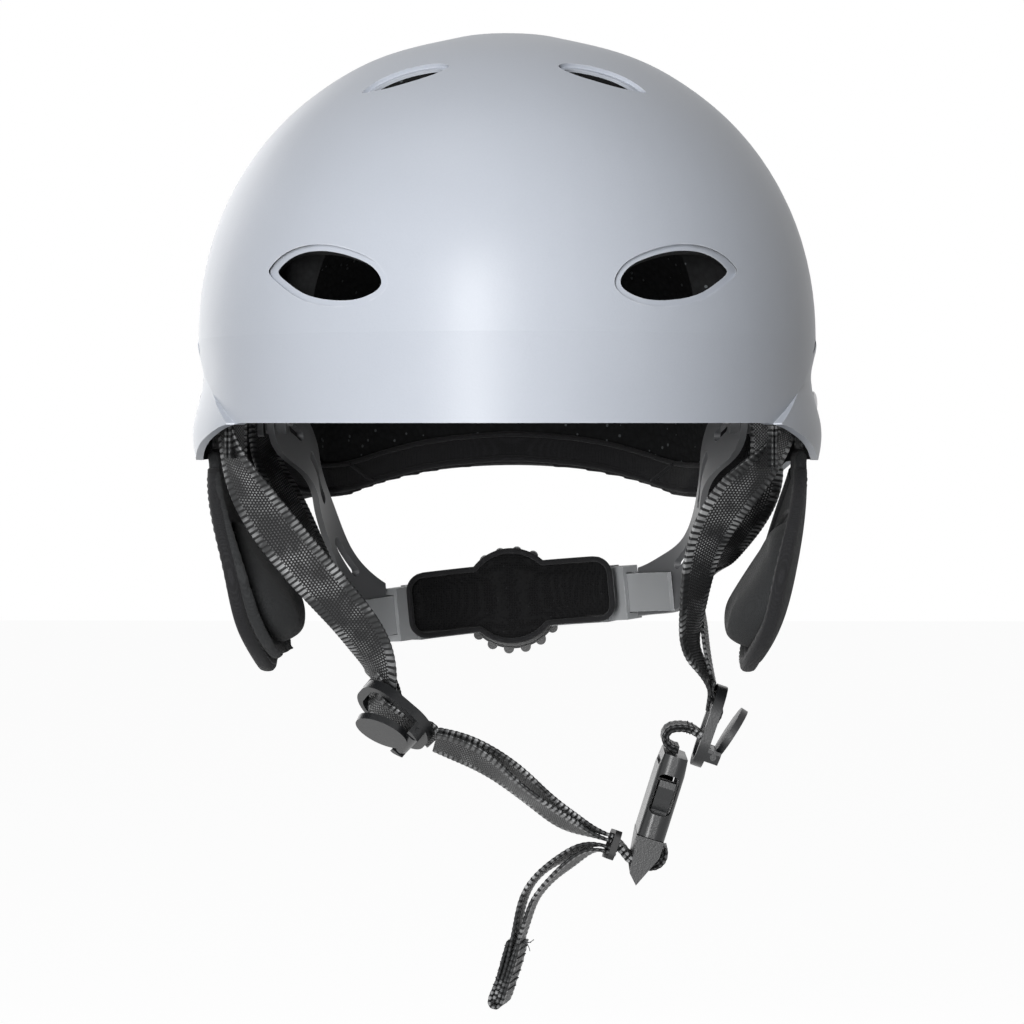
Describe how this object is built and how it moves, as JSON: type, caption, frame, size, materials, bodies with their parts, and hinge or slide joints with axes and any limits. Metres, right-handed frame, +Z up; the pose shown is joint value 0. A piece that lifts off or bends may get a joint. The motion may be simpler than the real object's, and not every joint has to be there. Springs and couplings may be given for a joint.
{
  "type": "skydiving helmet",
  "caption": "Open-face sport helmet: smooth vented shell, foam liner, ear flaps, dial-fit head band and webbing chin harness with side-release buckle.",
  "frame": {"origin": "middle of the head cavity at the level of the brow edge", "axes": "+Z up to the crown, -Y to the front of the helmet, +X to the side with the buckle"},
  "size_m": [0.2298, 0.283, 0.3543],
  "materials": {
    "shell_paint": "satin pale blue-grey",
    "liner_foam": "closed-cell foam",
    "padding_fabric": "mesh fabric over foam",
    "flap_fabric": "laminated cloth over stiff foam",
    "black_webbing": "ribbed polyester webbing",
    "band_plastic": "moulded nylon",
    "buckle_plastic": "moulded acetal",
    "fastener_steel": "dark plated",
    "keeper_rubber": "moulded rubber"
  },
  "bodies": {
    "helmet": {"outer_shell": "shell_paint", "foam_liner": "liner_foam", "liner_rim": "padding_fabric", "brow_pad": "padding_fabric", "nape_pad": "padding_fabric", "crown_pad": "padding_fabric", "side_pad_left": "padding_fabric", "side_pad_right": "padding_fabric", "side_rivets": "fastener_steel", "rivet_washers": "fastener_steel", "flap_tab_left": "black_webbing", "flap_tab_right": "black_webbing", "anchor_plate_left": "band_plastic", "anchor_plate_right": "band_plastic", "anchor_pins": "fastener_steel", "strap_front_left": "black_webbing", "strap_rear_left": "black_webbing", "strap_front_right": "black_webbing", "strap_rear_right": "black_webbing", "chin_strap_outer": "black_webbing", "chin_strap_inner": "black_webbing", "divider_frame_left": "buckle_plastic", "divider_frame_right": "buckle_plastic", "divider_pins": "fastener_steel", "buckle_strap": "black_webbing", "buckle_female": "buckle_plastic"},
    "yoke": {"yoke_arm_left": "band_plastic", "yoke_arm_right": "band_plastic", "cradle_housing": "band_plastic", "cradle_cover": "band_plastic", "cradle_pad": "padding_fabric"},
    "dial": {"dial_pinion": "band_plastic", "dial_knob": "band_plastic", "dial_screw": "fastener_steel"},
    "band_left": {"head_band_left": "band_plastic"},
    "band_right": {"head_band_right": "band_plastic"},
    "flap_left": {"ear_panel_left": "flap_fabric", "ear_cushion_left": "padding_fabric"},
    "flap_right": {"ear_panel_right": "flap_fabric", "ear_cushion_right": "padding_fabric"},
    "lever_left": {"divider_lever_left": "buckle_plastic"},
    "lever_right": {"divider_lever_right": "buckle_plastic"},
    "buckle_insert": {"buckle_male": "buckle_plastic", "ladder_loop": "black_webbing", "keeper_ring": "keeper_rubber", "strap_tail": "black_webbing"},
    "latch_front": {"prong_front": "buckle_plastic"},
    "latch_rear": {"prong_rear": "buckle_plastic"}
  },
  "joints": [
    {"name": "yoke_tilt", "type": "hinge", "parent": "helmet", "child": "yoke", "pos_m": [0, 0.002, 0.004], "axis": [1, 0, 0], "range_deg": [-6, 5]},
    {"name": "dial_turn", "type": "hinge", "parent": "yoke", "child": "dial", "pos_m": [0, 0.118, -0.072], "axis": [0, -1, 0], "range_deg": [0, 190]},
    {"name": "band_left_slide", "type": "hinge", "parent": "yoke", "child": "band_left", "pos_m": [0, 0.043, -0.072], "axis": [0.0958, 0, -0.9954], "range_deg": [0, 13.4]},
    {"name": "band_right_slide", "type": "hinge", "parent": "yoke", "child": "band_right", "pos_m": [0, 0.043, -0.072], "axis": [-0.0958, 0, 0.9954], "range_deg": [0, 13.4]},
    {"name": "flap_left_swing", "type": "hinge", "parent": "helmet", "child": "flap_left", "pos_m": [-0.10725, 0, -0.012], "axis": [0, 1, 0], "range_deg": [-2, 25]},
    {"name": "flap_right_swing", "type": "hinge", "parent": "helmet", "child": "flap_right", "pos_m": [0.10725, 0, -0.012], "axis": [0, -1, 0], "range_deg": [-2, 25]},
    {"name": "lever_left_swing", "type": "hinge", "parent": "helmet", "child": "lever_left", "pos_m": [-0.03605, -0.0102, -0.11626], "axis": [0.3247, -0.866, 0.3802], "range_deg": [-14, 60]},
    {"name": "lever_right_swing", "type": "hinge", "parent": "helmet", "child": "lever_right", "pos_m": [0.07501, -0.00497, -0.1217], "axis": [0, 1, 0], "range_deg": [-14, 60]},
    {"name": "buckle_pull", "type": "slide", "parent": "helmet", "child": "buckle_insert", "axis": [-0.299, 0, -0.9542], "range_m": [0, 0.016]},
    {"name": "latch_front_bend", "type": "hinge", "parent": "buckle_insert", "child": "latch_front", "pos_m": [0.0514, -0.01397, -0.15336], "axis": [-0.9542, 0, 0.299], "range_deg": [0, 14.8]},
    {"name": "latch_rear_bend", "type": "hinge", "parent": "buckle_insert", "child": "latch_rear", "pos_m": [0.0514, 0.00403, -0.15336], "axis": [0.9542, 0, -0.299], "range_deg": [0, 14.8]}
  ],
  "couplings": [
    {"joint": "band_left_slide", "follows": "dial_turn", "ratio": 0.070077},
    {"joint": "band_right_slide", "follows": "dial_turn", "ratio": 0.070077},
    {"joint": "latch_front_bend", "follows": "buckle_pull", "rad_per_m": 16},
    {"joint": "latch_rear_bend", "follows": "buckle_pull", "rad_per_m": 16}
  ]
}
